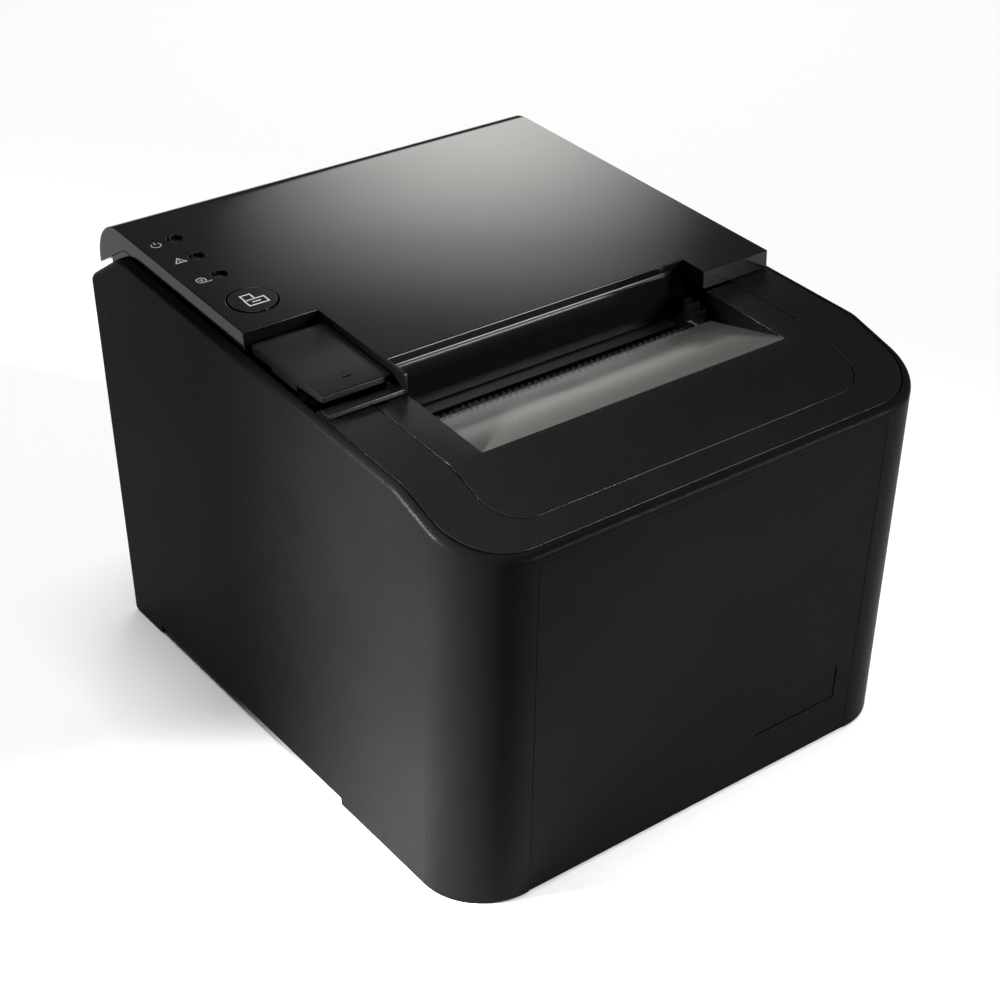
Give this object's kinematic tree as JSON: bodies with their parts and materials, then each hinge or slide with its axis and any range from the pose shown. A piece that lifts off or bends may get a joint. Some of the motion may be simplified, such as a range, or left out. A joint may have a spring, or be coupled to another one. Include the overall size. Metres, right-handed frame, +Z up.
{
  "type": "receipt printer",
  "caption": "Compact thermal receipt printer with a hinged glossy roll cover, opening key, feed button, cutter and a rounded matte case.",
  "frame": {"origin": "centre of the footprint, on the surface the printer stands on", "axes": "+X to the right when facing the front, front face looks along -Y, +Z up"},
  "size_m": [0.1476, 0.1848, 0.1305],
  "materials": {
    "case_black": "fine matte black moulded texture",
    "gloss_black": "piano black",
    "satin_black": "satin black",
    "key_black": "satin black key",
    "lens_smoke": "smoked light pipe",
    "badge": "blank satin badge",
    "feet_rubber": "soft black rubber",
    "platen_rubber": "ground dark rubber",
    "zinc_steel": "zinc plated sheet",
    "shaft_steel": "ground steel",
    "blade_steel": "hardened steel",
    "blued_steel": "blued steel",
    "sink_aluminium": "extruded aluminium",
    "head_ceramic": "glazed ceramic",
    "gear_white": "natural acetal",
    "inner_black": "black inner moulding",
    "bucket_grey": "dark grey moulding",
    "socket_black": "black socket housing",
    "socket_metal": "plated socket shell",
    "board_green": "solder mask",
    "chip_black": "moulded package",
    "capacitor_sleeve": "shrink sleeve",
    "ribbon_film": "polyimide film",
    "brass": "sintered brass"
  },
  "bodies": {
    "printer_body": {"base_tray": "inner_black", "rubber_feet": "feet_rubber", "main_shell": "case_black", "front_panel": "case_black", "badge_plate": "badge", "front_bezel": "satin_black", "rear_case": "case_black", "connector_plate": "zinc_steel", "dc_socket": "socket_metal", "usb_socket": "socket_metal", "lan_socket": "socket_black", "drawer_socket": "socket_black", "serial_socket": "socket_metal", "switch_frame": "socket_black", "main_board": "board_green", "board_screws": "zinc_steel", "case_screws": "zinc_steel", "buzzer": "chip_black", "processor_chips": "chip_black", "capacitor": "capacitor_sleeve", "chassis": "zinc_steel", "idler_axle": "shaft_steel", "feed_motor": "zinc_steel", "print_head": "head_ceramic", "heat_sink": "sink_aluminium", "head_brace": "zinc_steel", "head_springs": "blade_steel", "head_ribbon": "ribbon_film", "cutter_frame": "blued_steel", "cutter_motor": "zinc_steel", "paper_bucket": "bucket_grey", "paper_sensor": "chip_black"},
    "cover": {"roll_cover": "gloss_black", "cover_liner": "inner_black", "hinge_pins": "shaft_steel", "panel_board": "board_green", "feed_switch": "chip_black", "power_lens": "lens_smoke", "error_lens": "lens_smoke", "paper_lens": "lens_smoke", "fixed_blade": "blued_steel", "platen_bushes": "brass"},
    "cover_key": {"open_button": "key_black"},
    "feed_key": {"feed_button": "gloss_black"},
    "rocker": {"power_rocker": "key_black"},
    "platen": {"platen_roller": "platen_rubber", "platen_shaft": "shaft_steel", "platen_gear": "gear_white"},
    "idler": {"idler_gear": "gear_white"},
    "motor_rotor": {"motor_pinion": "brass", "motor_shaft": "shaft_steel"},
    "cutter_lid": {"cutter_cover": "satin_black", "tear_bar": "blued_steel"},
    "blade": {"moving_blade": "blued_steel", "blade_rack": "gear_white"},
    "cutter_drive": {"cutter_pinion": "gear_white"},
    "latch": {"latch_levers": "zinc_steel"}
  },
  "joints": [
    {"name": "cover_hinge", "type": "hinge", "parent": "printer_body", "child": "cover", "pos_m": [0, 0.07575, 0.117], "axis": [-1, 0, 0], "range_deg": [0, 90]},
    {"name": "open_button_press", "type": "hinge", "parent": "cover", "child": "cover_key", "pos_m": [-0.059, 0.00625, 0.12054], "axis": [1, 0, 0], "range_deg": [0, 3], "stiffness_Nm_per_rad": 0.6},
    {"name": "feed_button_press", "type": "slide", "parent": "cover", "child": "feed_key", "axis": [0, 0.0834, -0.9965], "range_m": [0, 0.0008], "stiffness_N_per_m": 400},
    {"name": "power_switch_rock", "type": "hinge", "parent": "printer_body", "child": "rocker", "pos_m": [0.061, 0.08875, 0.027], "axis": [1, 0, 0], "range_deg": [0, 12]},
    {"name": "platen_spin", "type": "hinge", "parent": "cover", "child": "platen", "pos_m": [0, -0.01625, 0.096], "axis": [1, 0, 0], "continuous": true},
    {"name": "idler_spin", "type": "hinge", "parent": "printer_body", "child": "idler", "pos_m": [0.0547, -0.01021, 0.06952], "axis": [1, 0, 0], "continuous": true},
    {"name": "motor_spin", "type": "hinge", "parent": "printer_body", "child": "motor_rotor", "pos_m": [0.0547, -0.02833, 0.05354], "axis": [1, 0, 0], "continuous": true},
    {"name": "cutter_lid_lift", "type": "slide", "parent": "printer_body", "child": "cutter_lid", "axis": [0, 0, 1], "range_m": [0, 0.008]},
    {"name": "blade_slide", "type": "slide", "parent": "printer_body", "child": "blade", "axis": [0, 1, 0], "range_m": [0, 0.009]},
    {"name": "cutter_pinion_spin", "type": "hinge", "parent": "printer_body", "child": "cutter_drive", "pos_m": [-0.024, -0.06125, 0.1], "axis": [0, 0, 1], "range_deg": [0, 92.08]},
    {"name": "latch_release", "type": "hinge", "parent": "printer_body", "child": "latch", "pos_m": [0, -0.05425, 0.071], "axis": [1, 0, 0], "range_deg": [-5, 0]}
  ],
  "couplings": [
    {"joint": "idler_spin", "follows": "platen_spin", "ratio": -0.5},
    {"joint": "motor_spin", "follows": "platen_spin", "ratio": 1.5},
    {"joint": "cutter_pinion_spin", "follows": "blade_slide", "rad_per_m": 178.57},
    {"joint": "latch_release", "follows": "open_button_press", "ratio": -1.6667}
  ]
}
